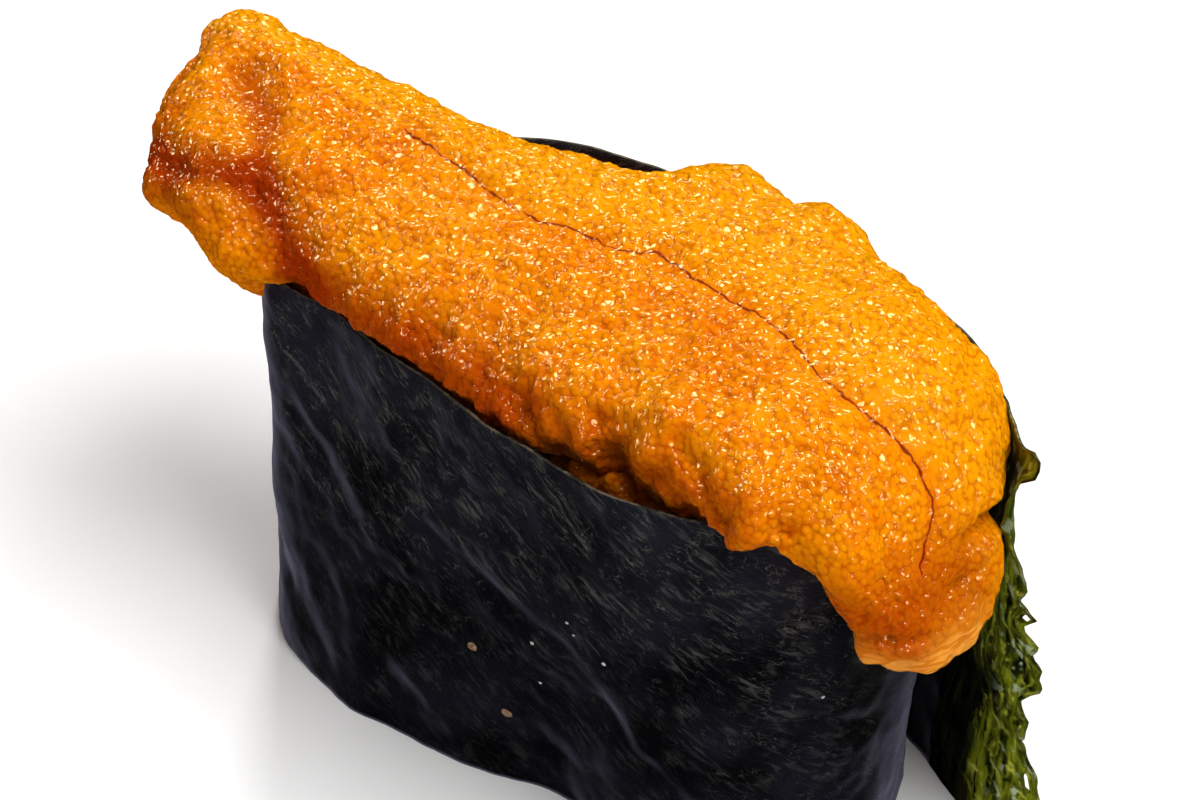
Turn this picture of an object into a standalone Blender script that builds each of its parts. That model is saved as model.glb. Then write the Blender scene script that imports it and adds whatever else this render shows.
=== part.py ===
"""A gunkan sushi: a nori band stood round a block of rice, with a small tongue of sea urchin roe inside
its top and one long tongue draped over it. Metres, +Z up. +X runs along the band to the end where the
nori flares and the roe droops, +Y to its back. The origin is on the surface that the rice rests on."""

import math
import random

import bmesh
import bpy
from mathutils import Matrix, Vector, noise

MM = 0.001

# Driving sizes
BAND_HEIGHT = 32 * MM
NORI_THICKNESS = 0.34 * MM
GAP = 0.3 * MM

# Nori band: the rim and the foot of the sheet, clockwise from above, in millimetres
BAND_STATIONS = (
    ((9.0, 13.6), (7.0, 11.6)),  # tucked inner end
    ((14.8, 11.4), (13.0, 9.6)),
    ((19.3, 7.6), (18.0, 6.6)),
    ((21.8, 2.0), (20.9, 1.6)),  # right end of the rice
    ((21.6, -5.0), (20.9, -4.6)),
    ((18.7, -11.3), (17.6, -9.6)),  # front right corner
    ((12.6, -14.2), (11.4, -11.6)),
    ((5.5, -14.9), (4.0, -11.8)),
    ((-1.5, -14.8), (-2.0, -13.2)),
    ((-8.5, -13.9), (-8.5, -14.9)),
    ((-15.8, -13.1), (-16.5, -15.3)),
    ((-22.8, -12.9), (-24.0, -12.9)),  # front left corner
    ((-27.0, -7.6), (-28.6, -7.6)),
    ((-27.9, 0.0), (-29.4, 0.4)),  # left end
    ((-26.4, 6.2), (-27.2, 7.0)),
    ((-21.7, 10.8), (-22.2, 11.0)),
    ((-14.5, 13.8), (-14.8, 13.4)),
    ((-5.5, 15.0), (-6.0, 14.4)),
    ((3.5, 15.4), (3.0, 13.9)),
    ((12.0, 14.9), (11.0, 11.6)),
    ((18.7, 12.3), (18.1, 8.6)),
    ((24.0, 8.4), (24.3, 6.2)),
    ((27.0, 5.2), (31.0, 4.2)),  # free end of the flared tail
)
CLOSING_STATION = 18  # the last one that the rice lies against
COLUMNS_PER_STATION = 4
BAND_ROWS = 8
TAIL_STATIONS = 2.2  # the stations over which the tail gets looser
TAIL_TEETH = 0.9 * MM  # how deep its torn end is
WAVE = 0.45 * MM
FINE_WAVE = 0.16 * MM
EDGE_RIPPLE = 0.5 * MM
FOOT_LIFT = 0.05 * MM

# Rice: the block's foot, its height, and how far its wall stands in at each level
RICE_FOOT = 0.8 * MM
RICE_HEIGHT = 23 * MM
RICE_CROWN = 1.2 * MM
RICE_GAP = GAP + 0.9 * MM
RICE_LEVELS = (
    (RICE_FOOT, 0.9 * MM),
    (6 * MM, 0.0),
    (14 * MM, 0.0),
    (RICE_HEIGHT - 2 * MM, 0.3 * MM),
    (RICE_HEIGHT, 2.2 * MM),
)
RICE_STEPS = 42
GRAIN_LENGTH = 5.6 * MM
GRAIN_WIDTH = 2.9 * MM
GRAIN_DEPTH = 2.5 * MM
GRAIN_STEP = 4.5 * MM
GRAIN_ROW = 3.9 * MM
GRAIN_SINK = 0.7 * MM  # how high the middle of a grain that is pressed flat lies
GRAIN_SHIFT = 0.7 * MM
GRAIN_SEED = 7

# Long tongue of roe: distance along its spine, front edge, back edge, height over and depth under
# the spine, height of the spine and drop of the front edge, in millimetres
ROE_SECTIONS = (
    (-40.2, -13.8, 2.2, 2.8, 3.0, 36.2, 1.6),
    (-36.0, -14.9, 3.2, 3.2, 3.6, 36.0, 2.0),
    (-30.0, -16.0, 3.2, 3.4, 3.8, 35.6, 2.2),
    (-23.0, -15.0, 3.8, 3.8, 4.2, 34.8, 1.8),
    (-17.0, -13.6, 6.0, 4.2, 4.4, 34.2, 1.2),
    (-10.0, -13.6, 9.2, 4.3, 4.6, 33.7, 1.0),
    (-3.0, -13.9, 12.2, 4.3, 4.6, 33.3, 0.9),
    (4.0, -13.2, 13.2, 4.3, 4.4, 33.3, 0.7),
    (9.0, -12.2, 13.2, 4.4, 4.2, 33.5, 0.4),
    (14.0, -12.7, 12.2, 4.4, 4.0, 33.6, 0.3),
    (19.0, -12.5, 11.2, 4.4, 3.4, 33.6, 0.2),
    (24.0, -10.8, 9.0, 4.2, 2.8, 33.6, 0.0),
    (28.5, -9.2, 6.2, 3.8, 2.4, 33.6, 0.0),
    (33.5, -8.4, 4.2, 3.2, 2.2, 33.6, 0.0),
)
DROOP_START = 12 * MM
DROOP_LENGTH = 18 * MM
DROOP_ANGLE = math.radians(72)
LEFT_SLANT = 0.42
BLUNT = 5.0
ROE_RINGS = 70
ROE_SEGMENTS = 40

# Relief of the tongue: place (x, y) in millimetres, reach and height in millimetres
BACK_LUMPS = ((-4.0, 12.0, 4.2, 1.7), (4.5, 13.0, 4.0, 1.2), (11.5, 12.0, 3.4, 0.8))
FRONT_LUMPS = (
    (4.0, -12.0, 3.2, 0.7),
    (12.0, -10.0, 3.0, 0.9),
    (19.0, -12.0, 2.8, 1.2),
    (24.5, -9.5, 3.2, 0.9),
)
LEFT_LOBE = (-26.5, -11.0, 5.0, 1.4)
SEAM = (
    (-21.0, -0.5),
    (-13.0, -2.2),
    (-7.0, -2.6),
    (-1.0, -0.8),
    (5.0, -0.6),
    (11.0, -1.0),
    (18.0, -3.0),
    (30.0, -5.0),
)
SEAM_FADE = 6 * MM
SEAM_DEPTH = 0.7 * MM
SEAM_WIDTH = 1.3 * MM
CREASE_ENDS = ((-37.0, -2.5), (-20.5, -12.5))
CREASE_DEPTH = 2.2 * MM
CREASE_WIDTH = 2.4 * MM
RELIEF = 0.55 * MM
FINE_RELIEF = 0.22 * MM

# Short tongue of roe in the top of the band
LOWER_ROE_CENTRE = Vector((-3.4, 0.0, 27.6)) * MM
LOWER_ROE_HALF = Vector((22.2, 12.4, 3.2)) * MM


def smooth(t):
    t = min(1.0, max(0.0, t))
    return t * t * (3 - 2 * t)


def through(points, position):
    """The smooth curve through the points, at a position counted in points from the first."""
    last = len(points) - 1
    i = min(int(max(0.0, position)), last - 1)
    t = position - i
    a, b, c, d = (Vector(points[min(max(k, 0), last)]) for k in (i - 1, i, i + 1, i + 2))
    return 0.5 * (2 * b + (c - a) * t + (2 * a - 5 * b + 4 * c - d) * t**2 + (3 * b - a - 3 * c + d) * t**3)


def band_point(position, share):
    """A point in the middle of the sheet: position along its stations, share of its height."""
    rim = through([s[0] for s in BAND_STATIONS], position)
    foot = through([s[1] for s in BAND_STATIONS], position)
    flat = foot.lerp(rim, share) * MM
    return Vector((flat.x, flat.y, share * BAND_HEIGHT))


def band_side(position, share):
    """The horizontal direction out of the band at that point."""
    step = band_point(position + 0.02, share) - band_point(position - 0.02, share)
    return Vector((step.y, -step.x, 0)).normalized() * -1


def tail_teeth(share):
    """How far the torn end of the tail reaches past or short of its station."""
    return TAIL_TEETH * (math.sin(27 * share + 0.6) + 0.7 * math.sin(61 * share + 1.3))


def sheet_point(position, share, reach=0.0):
    """A point of the nori with its waves and its torn end; its edges can reach out for a clearance."""
    last = len(BAND_STATIONS) - 1
    point = band_point(position, share)
    out = band_side(min(position, last - 0.05), share)
    wave = noise.noise(point / (7 * MM)) * WAVE + noise.noise(point / (3 * MM)) * FINE_WAVE
    loose = smooth((position - (last - TAIL_STATIONS)) / TAIL_STATIONS)
    point += out * wave * (1 + loose)
    along = Vector((out.y, -out.x, 0))
    point += along * tail_teeth(share) * smooth((position - (last - 0.7)) / 0.7)
    if position in (0, last):
        point += along * (reach if position else -reach)
    ripple = noise.noise(Vector((position * 1.3, 0, 5.0))) * EDGE_RIPPLE
    if share == 0:
        point.z += FOOT_LIFT + abs(ripple) - reach
    elif share == 1:
        point.z += ripple + reach
    return point


def material(name, colour, roughness):
    made = bpy.data.materials.new(name)
    made.use_nodes = True
    shader = made.node_tree.nodes["Principled BSDF"]
    shader.inputs["Base Color"].default_value = (*colour, 1)
    shader.inputs["Roughness"].default_value = roughness
    shader.inputs["Metallic"].default_value = 0
    return made


def face_outward(shape):
    bmesh.ops.recalc_face_normals(shape, faces=shape.faces)
    if shape.calc_volume(signed=True) < 0:
        bmesh.ops.reverse_faces(shape, faces=shape.faces)
    shape.normal_update()


def add_object(name, shape, finish, collection):
    """A named object from a bmesh, shaded smooth."""
    face_outward(shape)
    mesh = bpy.data.meshes.new(name)
    shape.to_mesh(mesh)
    shape.free()
    mesh.shade_smooth()
    if finish:
        mesh.materials.append(finish)
    made = bpy.data.objects.new(name, mesh)
    collection.objects.link(made)
    return made


def grid_mesh(columns, rows, point_at):
    """An open grid whose quads are split into triangles alike."""
    shape = bmesh.new()
    lines = [[shape.verts.new(point_at(c, r)) for r in range(rows + 1)] for c in range(columns + 1)]
    for left, right in zip(lines, lines[1:]):
        for r in range(rows):
            shape.faces.new((left[r], right[r], right[r + 1]))
            shape.faces.new((left[r], right[r + 1], left[r + 1]))
    return shape


def nori_sheet(name, reach, finish, collection):
    """The wound sheet, thicker and wider by the reach on every side where it serves as a clearance."""
    columns = (len(BAND_STATIONS) - 1) * COLUMNS_PER_STATION
    shape = grid_mesh(
        columns, BAND_ROWS, lambda c, r: sheet_point(c / COLUMNS_PER_STATION, r / BAND_ROWS, reach)
    )
    sheet = add_object(name, shape, finish, collection)
    solid = sheet.modifiers.new("thickness", "SOLIDIFY")
    solid.thickness = NORI_THICKNESS + 2 * reach
    solid.offset = 0
    return sheet


def rice_outline(height, inset):
    """A closed loop just inside the band, at a height."""
    share = height / BAND_HEIGHT
    loop = []
    for k in range(RICE_STEPS):
        position = CLOSING_STATION * k / (RICE_STEPS - 1)
        loop.append(band_point(position, share) - band_side(position, share) * inset)
    return loop


def rice_core(finish, collection):
    """The pressed block: closed loops from its foot to its rounded shoulder, with a cap at each end."""
    inset = NORI_THICKNESS / 2 + RICE_GAP
    shape = bmesh.new()
    rings = []
    for height, extra in RICE_LEVELS:
        loop = rice_outline(height, inset + extra)
        rings.append([shape.verts.new((p.x, p.y, height)) for p in loop])
    for low, high in zip(rings, rings[1:]):
        for k in range(len(low)):
            n = (k + 1) % len(low)
            shape.faces.new((low[k], low[n], high[n], high[k]))
    shape.faces.new(rings[0])
    top = shape.verts.new((-3 * MM, 0, RICE_HEIGHT + RICE_CROWN))
    for k in range(len(rings[-1])):
        shape.faces.new((rings[-1][k], rings[-1][(k + 1) % len(rings[-1])], top))
    return add_object("rice", shape, finish, collection)


def rice_grain(centre, turn, index, collection):
    """A short plump grain with few sides, lying flat."""
    shape = bmesh.new()
    bmesh.ops.create_uvsphere(shape, u_segments=6, v_segments=4, radius=0.5)
    length = GRAIN_LENGTH * (1 + 0.1 * math.sin(3.7 * index))
    for v in shape.verts:
        along, across, up = v.co.z * length, v.co.x * GRAIN_WIDTH, v.co.y * GRAIN_DEPTH
        v.co = centre + Matrix.Rotation(turn, 3, "Z") @ Vector((along, across, up))
    return add_object(f"grain_{index}", shape, None, collection)


def inside(point, loop):
    """Whether a point lies inside a closed loop, seen from above."""
    odd = False
    for a, b in zip(loop, loop[1:] + loop[:1]):
        if (a.y > point.y) != (b.y > point.y):
            if point.x < a.x + (point.y - a.y) * (b.x - a.x) / (b.y - a.y):
                odd = not odd
    return odd


def rice(finish, collection, helpers):
    """The block with the grains of its underside fused on and pressed flat where they meet the surface."""
    core = rice_core(finish, collection)
    allowed = rice_outline(RICE_FOOT, NORI_THICKNESS / 2 + GAP + GRAIN_LENGTH / 2)
    draw = random.Random(GRAIN_SEED)
    index = 0
    for i in range(-7, 6):
        for j in range(-3, 4):
            shift = Vector((draw.uniform(-1, 1), draw.uniform(-1, 1), 0)) * GRAIN_SHIFT
            turn = draw.uniform(0, math.pi)
            row = Vector(((i + 0.5 * (j % 2)) * GRAIN_STEP, j * GRAIN_ROW, GRAIN_SINK))
            centre = row if i == 0 and j == 0 else row + shift
            if inside(centre, allowed):
                rice_grain(centre, turn, index, helpers)
                index += 1
    join = core.modifiers.new("grains", "BOOLEAN")
    join.operation = "UNION"
    join.operand_type = "COLLECTION"
    join.collection = helpers
    apply_modifiers(core)
    for grain in list(helpers.objects):
        bpy.data.objects.remove(grain)
    press_flat(core.data)
    keep_largest(core.data)


def press_flat(mesh):
    """Cuts off what lies below the origin, and closes the cut with flat faces."""
    shape = bmesh.new()
    shape.from_mesh(mesh)
    parts = shape.verts[:] + shape.edges[:] + shape.faces[:]
    cut = bmesh.ops.bisect_plane(
        shape, geom=parts, dist=1e-7, plane_co=(0, 0, 0), plane_no=(0, 0, -1), clear_outer=True
    )
    edges = [e for e in cut["geom_cut"] if isinstance(e, bmesh.types.BMEdge)]
    bmesh.ops.contextual_create(shape, geom=edges)
    bmesh.ops.holes_fill(shape, edges=[e for e in shape.edges if e.is_boundary], sides=0)
    bmesh.ops.triangulate(shape, faces=shape.faces)
    face_outward(shape)
    shape.to_mesh(mesh)
    shape.free()


def apply_modifiers(obj):
    graph = bpy.context.evaluated_depsgraph_get()
    mesh = bpy.data.meshes.new_from_object(obj.evaluated_get(graph))
    obj.modifiers.clear()
    obj.data = mesh


def position_in(rows, along):
    """Where a distance falls among rows that begin with one, counted in rows from the first."""
    i = 0
    while i < len(rows) - 2 and along > rows[i + 1][0] * MM:
        i += 1
    return i + (along / MM - rows[i][0]) / (rows[i + 1][0] - rows[i][0])


def section_at(along):
    """Front, back, crown, belly, spine height and front drop of the long tongue along its spine."""
    position = position_in(ROE_SECTIONS, along)
    first = through([s[1:4] for s in ROE_SECTIONS], position) * MM
    second = through([s[4:7] for s in ROE_SECTIONS], position) * MM
    return (*first, *second)


def droop_at(along):
    """x, the fall and the downward angle of the tongue's spine where its end hangs over the band."""
    x, fall, steps = min(along, DROOP_START), 0.0, 24
    if along <= DROOP_START:
        return x, fall, 0.0
    step = (along - DROOP_START) / steps
    for k in range(steps):
        angle = DROOP_ANGLE * smooth(((k + 0.5) * step) / DROOP_LENGTH)
        x += math.cos(angle) * step
        fall += math.sin(angle) * step
    return x, fall, DROOP_ANGLE * smooth((along - DROOP_START) / DROOP_LENGTH)


def bump(point, lump):
    """The height of a round lump at a point seen from above."""
    x, y, reach, height = (value * MM for value in lump)
    away = math.hypot(point.x - x, point.y - y) / reach
    return height * math.exp(-away * away * 1.6)


def valley(point, ends, depth, width):
    """The depth of a straight crease that fades at its ends."""
    a, b = (Vector((*end, 0)) * MM for end in ends)
    run = b - a
    t = (Vector((point.x, point.y, 0)) - a).dot(run) / run.length_squared
    away = (Vector((point.x, point.y, 0)) - a - run * min(1, max(0, t))).length
    return depth * math.exp(-((away / width) ** 2)) * (0.55 + 0.45 * smooth(t * 1.5))


def seam_depth(along, y):
    """How deep the seam's groove is at a distance along the spine."""
    if along < SEAM[0][0] * MM:
        return 0.0
    middle = through(SEAM, position_in(SEAM, along)).y * MM
    fade = smooth((along - SEAM[0][0] * MM) / SEAM_FADE)
    return SEAM_DEPTH * fade * math.exp(-(((y - middle) / SEAM_WIDTH) ** 2))


def roe_relief(point, along, top):
    """How far the surface stands out at a point; top is 1 on the upper side and 0 underneath."""
    height = noise.fractal(point / (7 * MM), 1.0, 2.0, 3) * RELIEF
    height += (1 - 2 * abs(noise.noise(point / (2.2 * MM)))) * FINE_RELIEF
    height += sum(bump(point, lump) for lump in BACK_LUMPS + FRONT_LUMPS) * (0.35 + 0.65 * top)
    height += bump(point, LEFT_LOBE)
    height -= valley(point, CREASE_ENDS, CREASE_DEPTH, CREASE_WIDTH) * top
    return height - seam_depth(along, point.y) * top


def roe_point(unit):
    """Maps a point of the unit sphere, its poles on Z, to the surface of the long tongue."""
    start, end = ROE_SECTIONS[0][0] * MM, ROE_SECTIONS[-1][0] * MM
    along = (start + end) / 2 + unit.z * (end - start) / 2
    swell = max(0.0, 1 - abs(unit.z) ** BLUNT) ** (1 / BLUNT)
    ring = max(1e-9, math.hypot(unit.x, unit.y))
    across, up = unit.x / ring, unit.y / ring
    front, back, crown, belly, height, drop = section_at(along)
    centre, half = (front + back) / 2, (back - front) / 2
    side = math.copysign(abs(across) ** 0.8, across) * swell
    rise = math.copysign(abs(up) ** 0.9, up) * (crown if up > 0 else belly) * swell
    x, fall, angle = droop_at(along)
    y = centre + side * half
    slant = -LEFT_SLANT * (y + 5 * MM) * smooth((-along - 16 * MM) / (24 * MM))
    z = height - fall + drop * side
    point = Vector((x + slant + rise * math.sin(angle), y, z + rise * math.cos(angle)))
    top = smooth((up + 0.35) / 0.7)
    out = Vector((unit.z * abs(unit.z) ** 3 + up * math.sin(angle), across * 0.6, up * math.cos(angle)))
    return point + out.normalized() * roe_relief(point, along, top) * min(1.0, swell * 2)


def keep_largest(mesh):
    """Drops every loose scrap, leaving the piece with the most vertices."""
    shape = bmesh.new()
    shape.from_mesh(mesh)
    left, islands = set(shape.verts), []
    while left:
        queue, island = [left.pop()], set()
        while queue:
            vert = queue.pop()
            island.add(vert)
            for edge in vert.link_edges:
                other = edge.other_vert(vert)
                if other in left:
                    left.discard(other)
                    queue.append(other)
        islands.append(island)
    islands.sort(key=len)
    for island in islands[:-1]:
        bmesh.ops.delete(shape, geom=list(island), context="VERTS")
    shape.to_mesh(mesh)
    shape.free()


def tongue_shape(reach):
    """The long tongue as a bmesh, swollen by the reach where it serves as a clearance."""
    shape = bmesh.new()
    bmesh.ops.create_uvsphere(shape, u_segments=ROE_SEGMENTS, v_segments=ROE_RINGS, radius=1)
    for v in shape.verts:
        v.co = roe_point(v.co.copy())
    face_outward(shape)
    moves = [v.normal * reach for v in shape.verts]
    for v, move in zip(shape.verts, moves):
        v.co += move
    return shape


def cut_clear(piece, cutter):
    """Takes the cutter away from a piece and drops loose scraps."""
    cutter.hide_render = True
    cutter.display_type = "WIRE"
    cut = piece.modifiers.new("clearance", "BOOLEAN")
    cut.operation = "DIFFERENCE"
    cut.object = cutter
    apply_modifiers(piece)
    keep_largest(piece.data)


def roe_top(finish, collection, nori_clearance):
    tongue = add_object("roe_top", tongue_shape(0.0), finish, collection)
    cut_clear(tongue, nori_clearance)


def roe_lower(finish, collection, helpers):
    """A flatter tongue that fills the top of the band, pressed down by the long one."""
    shape = bmesh.new()
    bmesh.ops.create_uvsphere(shape, u_segments=14, v_segments=18, radius=1)
    for v in shape.verts:
        along, across, up = v.co.z, v.co.x, v.co.y
        square = math.hypot(along, across) / max(1e-9, (along**4 + across**4) ** 0.25)
        full = 1 + 0.12 * noise.noise(Vector((along * 3, across * 3, up * 2)))
        point = Vector((along * square, across * square, up * full))
        v.co = LOWER_ROE_CENTRE + Vector([p * h for p, h in zip(point, LOWER_ROE_HALF)])
    lower = add_object("roe_lower", shape, finish, collection)
    cut_clear(lower, add_object("roe_clearance", tongue_shape(GAP), None, helpers))


def main():
    for obj in list(bpy.data.objects):
        bpy.data.objects.remove(obj)
    parts = bpy.data.collections.new("sea_urchin_gunkan")
    helpers = bpy.data.collections.new("cutters")
    for collection in (parts, helpers):
        bpy.context.scene.collection.children.link(collection)

    nori = material("nori", (0.010, 0.011, 0.015), 0.42)
    roe = material("roe", (0.86, 0.27, 0.01), 0.3)
    deep_roe = material("deep roe", (0.55, 0.10, 0.005), 0.35)
    grain = material("rice", (0.85, 0.83, 0.77), 0.5)

    rice(grain, parts, helpers)
    nori_sheet("nori_band", 0.0, nori, parts)
    nori_clearance = nori_sheet("nori_clearance", GAP, None, helpers)
    roe_lower(deep_roe, parts, helpers)
    roe_top(roe, parts, nori_clearance)


main()
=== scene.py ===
"""Looks of a sea urchin gunkan: wet granular roe, fibrous nori, cooked rice, floor, light and camera."""

import math
import random

import bmesh
import bpy
import numpy as np
from mathutils import Matrix, Vector, noise


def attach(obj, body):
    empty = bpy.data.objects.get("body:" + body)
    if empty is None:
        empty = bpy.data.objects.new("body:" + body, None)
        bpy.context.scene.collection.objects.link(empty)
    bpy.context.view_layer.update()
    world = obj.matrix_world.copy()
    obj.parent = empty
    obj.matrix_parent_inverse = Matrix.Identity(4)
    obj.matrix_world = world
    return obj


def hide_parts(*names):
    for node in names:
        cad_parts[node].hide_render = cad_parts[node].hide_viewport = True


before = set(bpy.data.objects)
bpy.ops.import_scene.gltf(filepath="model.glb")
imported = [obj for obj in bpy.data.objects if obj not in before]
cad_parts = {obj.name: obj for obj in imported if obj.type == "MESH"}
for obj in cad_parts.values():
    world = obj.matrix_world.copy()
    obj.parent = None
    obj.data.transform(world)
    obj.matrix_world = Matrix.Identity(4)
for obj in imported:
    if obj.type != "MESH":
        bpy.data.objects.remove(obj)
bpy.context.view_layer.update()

MM = 0.001

# Camera, in millimetres
CAMERA_PLACE = (126.1, -137.0, 166.2)
CAMERA_TARGET = (-11.3, 7.3, 16.0)
CAMERA_LENS = 105

# Nori: the rim and the foot of the sheet, clockwise from above, in millimetres
BAND_HEIGHT = 32.0
BAND_STATIONS = (
    ((9.0, 13.6), (7.0, 11.6)),
    ((14.8, 11.4), (13.0, 9.6)),
    ((19.3, 7.6), (18.0, 6.6)),
    ((21.8, 2.0), (20.9, 1.6)),
    ((21.6, -5.0), (20.9, -4.6)),
    ((18.7, -11.3), (17.6, -9.6)),
    ((12.6, -14.2), (11.4, -11.6)),
    ((5.5, -14.9), (4.0, -11.8)),
    ((-1.5, -14.8), (-2.0, -13.2)),
    ((-8.5, -13.9), (-8.5, -14.9)),
    ((-15.8, -13.1), (-16.5, -15.3)),
    ((-22.8, -12.9), (-24.0, -12.9)),
    ((-27.0, -7.6), (-28.6, -7.6)),
    ((-27.9, 0.0), (-29.4, 0.4)),
    ((-26.4, 6.2), (-27.2, 7.0)),
    ((-21.7, 10.8), (-22.2, 11.0)),
    ((-14.5, 13.8), (-14.8, 13.4)),
    ((-5.5, 15.0), (-6.0, 14.4)),
    ((3.5, 15.4), (3.0, 13.9)),
    ((12.0, 14.9), (11.0, 11.6)),
    ((18.7, 12.3), (18.1, 8.6)),
    ((24.0, 8.4), (24.3, 6.2)),
    ((27.0, 5.2), (31.0, 4.2)),
)
CLOSING_STATION = 18  # where the sheet has gone once round and lies over its own start
FRONT_STATIONS = slice(5, 12)  # those on the side that faces the camera
SHEET_COLUMNS = 24  # for each station
SHEET_ROWS = 84
SHEET_THICKNESS = 0.2
TAIL_STATIONS = 2.2  # the stations over which the tail gets looser
END_STATIONS = 0.55  # the part of the last station that the torn edge moves

# Wrinkles of the front of the sheet: route, width and depth, in millimetres; a negative depth stands out
WRINKLES = (
    (((-7.0, -14.6, 19.4), (-1.0, -14.2, 17.6), (5.0, -13.5, 15.4)), 1.0, 0.35),
    (((-8.0, -14.8, 7.0), (-4.8, -14.4, 5.1), (-2.0, -14.0, 2.6)), 1.8, -0.5),
    (((20.5, -7.5, 14.8), (21.8, -1.9, 11.9)), 0.9, 0.4),
    (((-20.0, -13.8, 22.0), (-14.0, -14.2, 17.0)), 1.2, 0.3),
    (((8.0, -13.0, 12.0), (14.0, -11.0, 6.0)), 1.2, 0.3),
    (((-24.0, -12.8, 8.0), (-17.0, -14.8, 3.0)), 1.4, 0.35),
)

# Torn end of the sheet: share of the height, and how far the edge flares past its station, in millimetres
TORN_EDGE = (
    (0.0, -0.3),
    (0.06, 0.5),
    (0.12, 0.1),
    (0.18, 0.9),
    (0.26, 0.2),
    (0.32, -0.7),
    (0.36, -0.1),
    (0.43, -0.6),
    (0.465, 0.6),
    (0.525, 1.0),
    (0.55, 0.5),
    (0.585, 1.0),
    (0.612, -0.3),
    (0.645, 0.7),
    (0.67, -0.5),
    (0.72, 0.2),
    (0.79, -0.7),
    (0.845, -1.0),
    (0.917, -0.8),
    (0.950, -0.3),
    (0.965, 0.8),
    (0.985, 1.1),
    (1.0, 0.7),
)
TORN_START = 20.2  # where the sheet begins to thin, counted in stations
FLARE = (0.72, 0.69, 0.0)  # which way the torn edge leans out
FLARE_SHARE = 0.8
ALONG_SHARE = 0.6
FLAG_LIFT = 1.1  # how far the top of the torn end stands up

# Holes in the torn end: station, share of the height, and half the size each way
HOLES = ((21.85, 0.64, 0.05, 0.012), (21.8, 0.22, 0.05, 0.022))

# Long tongue of roe, in millimetres: distance along its spine, front edge, back edge, height over and
# depth under the spine, height of the spine and drop of the front edge
ROE_SECTIONS = (
    (-40.2, -13.8, 2.2, 2.8, 3.0, 36.2, 1.6),
    (-36.0, -14.9, 3.2, 3.2, 3.6, 36.0, 2.0),
    (-30.0, -16.0, 3.2, 3.4, 3.8, 35.6, 2.2),
    (-23.0, -15.0, 3.8, 3.8, 4.2, 34.8, 1.8),
    (-17.0, -13.6, 6.0, 4.2, 4.4, 34.2, 1.2),
    (-10.0, -13.6, 9.2, 4.3, 4.6, 33.7, 1.0),
    (-3.0, -13.9, 12.2, 4.3, 4.6, 33.3, 0.9),
    (4.0, -13.2, 13.2, 4.3, 4.4, 33.3, 0.7),
    (9.0, -12.2, 13.2, 4.4, 4.2, 33.5, 0.4),
    (14.0, -12.7, 12.2, 4.4, 4.0, 33.6, 0.3),
    (19.0, -12.5, 11.2, 4.4, 3.4, 33.6, 0.2),
    (24.0, -10.8, 9.0, 4.2, 2.8, 33.6, 0.0),
    (28.5, -9.2, 6.2, 3.8, 2.4, 33.6, 0.0),
    (33.5, -8.4, 4.2, 3.2, 2.2, 33.6, 0.0),
)
DROOP_START = 12.0
DROOP_LENGTH = 18.0
DROOP_ANGLE = math.radians(72)
LEFT_SLANT = 0.42  # how far the left end is sheared, for each millimetre across
BLUNT = 5.0  # a higher power makes the ends blunter
ROE_RINGS = 420
ROE_SEGMENTS = 224
RIM_CLEARANCE = 0.8  # between the middle of the sheet and the roe behind it

# Relief of the tongue: place, reach and height of each lump, in millimetres
BACK_LUMPS = ((-4.0, 12.2, 4.2, 1.35), (4.5, 13.0, 4.0, 1.2), (11.5, 12.0, 3.4, 0.8))
FRONT_LUMPS = (
    (4.0, -12.0, 3.2, 0.7),
    (12.0, -10.0, 3.0, 0.9),
    (19.0, -12.0, 2.8, 1.2),
    (24.5, -9.5, 3.2, 0.9),
)
LEFT_LOBE = (-26.5, -11.0, 5.0, 1.4)

# Seam along the tongue's top: distance along the spine and place across
FAR_IN_FRONT = -9.0  # stands for the distance to the seam where there is none
SEAM_WIDTH = 1.1
SEAM_DEPTH = 0.30
SEAM = (
    (-20.0, -2.0),
    (-14.0, -2.1),
    (-8.0, -2.5),
    (-4.2, -1.2),
    (-1.5, -0.7),
    (0.3, 0.7),
    (3.9, 0.0),
    (8.1, -0.2),
    (12.1, -0.8),
    (15.8, -2.2),
    (18.2, -2.3),
    (20.4, -1.8),
    (23.6, -1.9),
    (26.3, -4.4),
)

# Crease round the left lobe, which also gets painted shade, and a band of painted shade beside it, as
# routes
CREASE = (
    (-33.4, -4.8, 39.0),
    (-30.0, -6.6, 38.6),
    (-26.3, -9.3, 37.5),
    (-24.6, -11.4, 37.0),
    (-21.8, -12.6, 34.8),
    (-19.6, -13.6, 33.0),
)
LEFT_PAINTED_SHADE = (
    (-34.1, -12.6, 36.1),
    (-30.8, -13.3, 36.2),
    (-27.9, -12.5, 38.2),
    (-25.9, -11.4, 37.5),
    (-22.9, -11.3, 36.6),
    (-19.5, -12.7, 35.6),
    (-18.3, -13.2, 34.1),
)

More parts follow.
